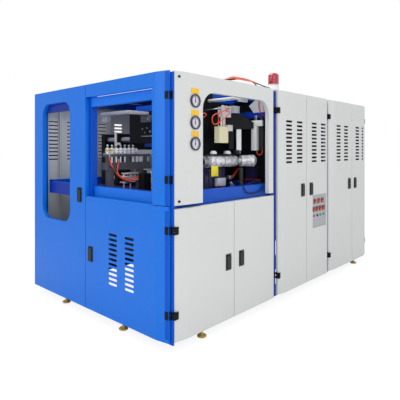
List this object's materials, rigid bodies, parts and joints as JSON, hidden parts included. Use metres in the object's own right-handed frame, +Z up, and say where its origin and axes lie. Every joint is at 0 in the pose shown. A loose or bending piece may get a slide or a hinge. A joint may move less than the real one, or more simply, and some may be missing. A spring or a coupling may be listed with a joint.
{
  "type": "blow moulding machine",
  "caption": "Stretch blow moulding machine with a blue and white sheet-metal body, open arch over the blowing unit, vented doors, gauges, controls and a warning beacon.",
  "frame": {"origin": "middle of the machine's outer box, on the floor", "axes": "+X along the machine from its blue end to the far end, +Y from the front doors to the back, +Z up"},
  "size_m": [3.514, 2.026, 2.167],
  "materials": {
    "aluminium": "machined",
    "black_metal": "satin black",
    "black_plastic": "moulded",
    "blue_paint": "gloss powder coat",
    "cable": "smooth",
    "cream_plastic": "moulded",
    "dark_blue_paint": "satin paint",
    "deck_steel": "gloss paint",
    "dome": "clear orange lens",
    "foil": "wrinkled foil",
    "green_plastic": "moulded",
    "grey_paint": "satin powder coat",
    "pale_plastic": "pale translucent moulding",
    "red_plastic": "moulded",
    "steel": "machined",
    "white_paint": "satin powder coat",
    "zinc": "yellow zinc plate"
  },
  "bodies": {
    "machine": {"frame_posts": "dark_blue_paint", "long_rails": "dark_blue_paint", "cross_rails": "dark_blue_paint", "levelling_feet": "zinc", "deck_plate": "deck_steel", "arch_panel": "white_paint", "cover_panels": "grey_paint", "hinge_leaves": "black_metal", "beacon_base": "pale_plastic", "beacon_dome": "dome", "gauge_cases": "steel", "front_platen": "black_metal", "tie_bars": "steel", "mould_front": "aluminium", "rear_crosshead": "black_metal", "clamp_cylinder": "steel", "stretch_frame": "blue_paint", "valve_block": "aluminium", "valve_box": "cream_plastic", "drag_chain": "black_plastic", "conveyor_rail": "black_metal", "drive_motor": "black_metal", "insulated_pipe": "foil", "junction_boxes": "dark_blue_paint", "oven_bench": "grey_paint", "lamp_bank": "steel", "electrical_plate": "zinc", "beacon_cable": "cable"},
    "end_tall_door": {"end_tall_door": "blue_paint"},
    "end_upper_door": {"end_upper_door": "blue_paint"},
    "end_lower_door": {"end_lower_door": "blue_paint"},
    "front_left_door": {"front_left_door": "white_paint"},
    "front_right_door": {"front_right_door": "white_paint"},
    "oven_left_door": {"oven_left_door": "white_paint"},
    "oven_right_door": {"oven_right_door": "white_paint", "control_plate": "grey_paint", "temperature_controllers": "black_plastic"},
    "cabinet_left_door": {"cabinet_left_door": "white_paint"},
    "cabinet_right_door": {"cabinet_right_door": "white_paint"},
    "end_tall_latch": {"end_tall_latch": "black_metal"},
    "end_lower_latch": {"end_lower_latch": "black_metal"},
    "front_left_latch": {"front_left_latch": "black_metal"},
    "front_right_latch": {"front_right_latch": "black_metal"},
    "oven_left_latch": {"oven_left_latch": "black_metal"},
    "oven_right_latch": {"oven_right_latch": "black_metal"},
    "cabinet_left_latch": {"cabinet_left_latch": "black_metal"},
    "cabinet_right_latch": {"cabinet_right_latch": "black_metal"},
    "gauge_needle_1": {"gauge_needle_1": "black_metal"},
    "gauge_needle_2": {"gauge_needle_2": "black_metal"},
    "gauge_needle_3": {"gauge_needle_3": "black_metal"},
    "beacon_reflector": {"beacon_reflector": "aluminium"},
    "moving_clamp": {"moving_platen": "black_metal", "mould_rear": "aluminium"},
    "stretch_head": {"stretch_head": "aluminium"},
    "mandrel_carriage": {"mandrel_carriage": "steel"},
    "fan_rotor": {"fan_rotor": "steel"},
    "red_button": {"red_button": "red_plastic"},
    "green_button_1": {"green_button_1": "green_plastic"},
    "green_button_2": {"green_button_2": "green_plastic"},
    "selector_switch": {"selector_switch": "black_plastic"}
  },
  "joints": [
    {"name": "end_tall_door_hinge", "type": "hinge", "parent": "machine", "child": "end_tall_door", "pos_m": [-1.719, 1.006, 1], "axis": [0, 0, 1], "range_deg": [-95, 0]},
    {"name": "end_upper_door_hinge", "type": "hinge", "parent": "machine", "child": "end_upper_door", "pos_m": [-1.719, -0.97, 1], "axis": [0, 0, 1], "range_deg": [0, 95]},
    {"name": "end_lower_door_hinge", "type": "hinge", "parent": "machine", "child": "end_lower_door", "pos_m": [-1.719, -0.97, 1], "axis": [0, 0, 1], "range_deg": [0, 95]},
    {"name": "front_left_door_hinge", "type": "hinge", "parent": "machine", "child": "front_left_door", "pos_m": [-1.695, -0.9945, 1], "axis": [0, 0, 1], "range_deg": [-95, 0]},
    {"name": "front_right_door_hinge", "type": "hinge", "parent": "machine", "child": "front_right_door", "pos_m": [-0.437, -0.979, 1], "axis": [0, 0, 1], "range_deg": [0, 90]},
    {"name": "oven_left_door_hinge", "type": "hinge", "parent": "machine", "child": "oven_left_door", "pos_m": [-0.357, -0.979, 1], "axis": [0, 0, 1], "range_deg": [-90, 0]},
    {"name": "oven_right_door_hinge", "type": "hinge", "parent": "machine", "child": "oven_right_door", "pos_m": [0.636, -0.979, 1], "axis": [0, 0, 1], "range_deg": [0, 90]},
    {"name": "cabinet_left_door_hinge", "type": "hinge", "parent": "machine", "child": "cabinet_left_door", "pos_m": [0.691, -0.979, 1], "axis": [0, 0, 1], "range_deg": [-90, 0]},
    {"name": "cabinet_right_door_hinge", "type": "hinge", "parent": "machine", "child": "cabinet_right_door", "pos_m": [1.75, -0.979, 1], "axis": [0, 0, 1], "range_deg": [0, 95]},
    {"name": "end_tall_latch_pin", "type": "hinge", "parent": "end_tall_door", "child": "end_tall_latch", "pos_m": [-1.742, 0.156, 1.092], "axis": [0, 1, 0], "range_deg": [0, 35], "stiffness_Nm_per_rad": 0.6, "springref_deg": -17.19},
    {"name": "end_lower_latch_pin", "type": "hinge", "parent": "end_lower_door", "child": "end_lower_latch", "pos_m": [-1.742, -0.017, 0.601], "axis": [0, 1, 0], "range_deg": [0, 35], "stiffness_Nm_per_rad": 0.6, "springref_deg": -17.19},
    {"name": "front_left_latch_pin", "type": "hinge", "parent": "front_left_door", "child": "front_left_latch", "pos_m": [-1.105, -0.998, 0.586], "axis": [-1, 0, 0], "range_deg": [0, 35], "stiffness_Nm_per_rad": 0.6, "springref_deg": -17.19},
    {"name": "front_right_latch_pin", "type": "hinge", "parent": "front_right_door", "child": "front_right_latch", "pos_m": [-0.934, -0.998, 0.586], "axis": [-1, 0, 0], "range_deg": [0, 35], "stiffness_Nm_per_rad": 0.6, "springref_deg": -17.19},
    {"name": "oven_left_latch_pin", "type": "hinge", "parent": "oven_left_door", "child": "oven_left_latch", "pos_m": [0.092, -0.998, 1.079], "axis": [-1, 0, 0], "range_deg": [0, 35], "stiffness_Nm_per_rad": 0.6, "springref_deg": -17.19},
    {"name": "oven_right_latch_pin", "type": "hinge", "parent": "oven_right_door", "child": "oven_right_latch", "pos_m": [0.267, -0.998, 1.079], "axis": [-1, 0, 0], "range_deg": [0, 35], "stiffness_Nm_per_rad": 0.6, "springref_deg": -17.19},
    {"name": "cabinet_left_latch_pin", "type": "hinge", "parent": "cabinet_left_door", "child": "cabinet_left_latch", "pos_m": [1.217, -0.998, 1.079], "axis": [-1, 0, 0], "range_deg": [0, 35], "stiffness_Nm_per_rad": 0.6, "springref_deg": -17.19},
    {"name": "cabinet_right_latch_pin", "type": "hinge", "parent": "cabinet_right_door", "child": "cabinet_right_latch", "pos_m": [1.387, -0.998, 1.079], "axis": [-1, 0, 0], "range_deg": [0, 35], "stiffness_Nm_per_rad": 0.6, "springref_deg": -17.19},
    {"name": "gauge_needle_1_spindle", "type": "hinge", "parent": "machine", "child": "gauge_needle_1", "pos_m": [-1.496, -1.007, 1.8], "axis": [0, 1, 0], "range_deg": [0, 270]},
    {"name": "gauge_needle_2_spindle", "type": "hinge", "parent": "machine", "child": "gauge_needle_2", "pos_m": [-1.496, -1.007, 1.64], "axis": [0, 1, 0], "range_deg": [0, 270]},
    {"name": "gauge_needle_3_spindle", "type": "hinge", "parent": "machine", "child": "gauge_needle_3", "pos_m": [-1.496, -1.007, 1.485], "axis": [0, 1, 0], "range_deg": [0, 270]},
    {"name": "beacon_turn", "type": "hinge", "parent": "machine", "child": "beacon_reflector", "pos_m": [-0.345, -0.935, 2.08], "axis": [0, 0, 1], "continuous": true},
    {"name": "clamp_stroke", "type": "slide", "parent": "machine", "child": "moving_clamp", "axis": [0, 1, 0], "range_m": [0, 0.16]},
    {"name": "stretch_stroke", "type": "slide", "parent": "machine", "child": "stretch_head", "axis": [0, 0, -1], "range_m": [0, 0.16]},
    {"name": "carriage_travel", "type": "slide", "parent": "machine", "child": "mandrel_carriage", "axis": [1, 0, 0], "range_m": [0, 0.12]},
    {"name": "fan_turn", "type": "hinge", "parent": "machine", "child": "fan_rotor", "pos_m": [0.135, -0.001, 0.95], "axis": [0, 0, 1], "continuous": true},
    {"name": "red_button_press", "type": "slide", "parent": "oven_right_door", "child": "red_button", "axis": [0, 1, 0], "range_m": [0, 0.004], "stiffness_N_per_m": 400},
    {"name": "green_button_1_press", "type": "slide", "parent": "oven_right_door", "child": "green_button_1", "axis": [0, 1, 0], "range_m": [0, 0.004], "stiffness_N_per_m": 400},
    {"name": "green_button_2_press", "type": "slide", "parent": "oven_right_door", "child": "green_button_2", "axis": [0, 1, 0], "range_m": [0, 0.004], "stiffness_N_per_m": 400},
    {"name": "selector_turn", "type": "hinge", "parent": "oven_right_door", "child": "selector_switch", "pos_m": [0.416, -1.001, 0.74], "axis": [0, 1, 0], "range_deg": [-45, 45]}
  ]
}
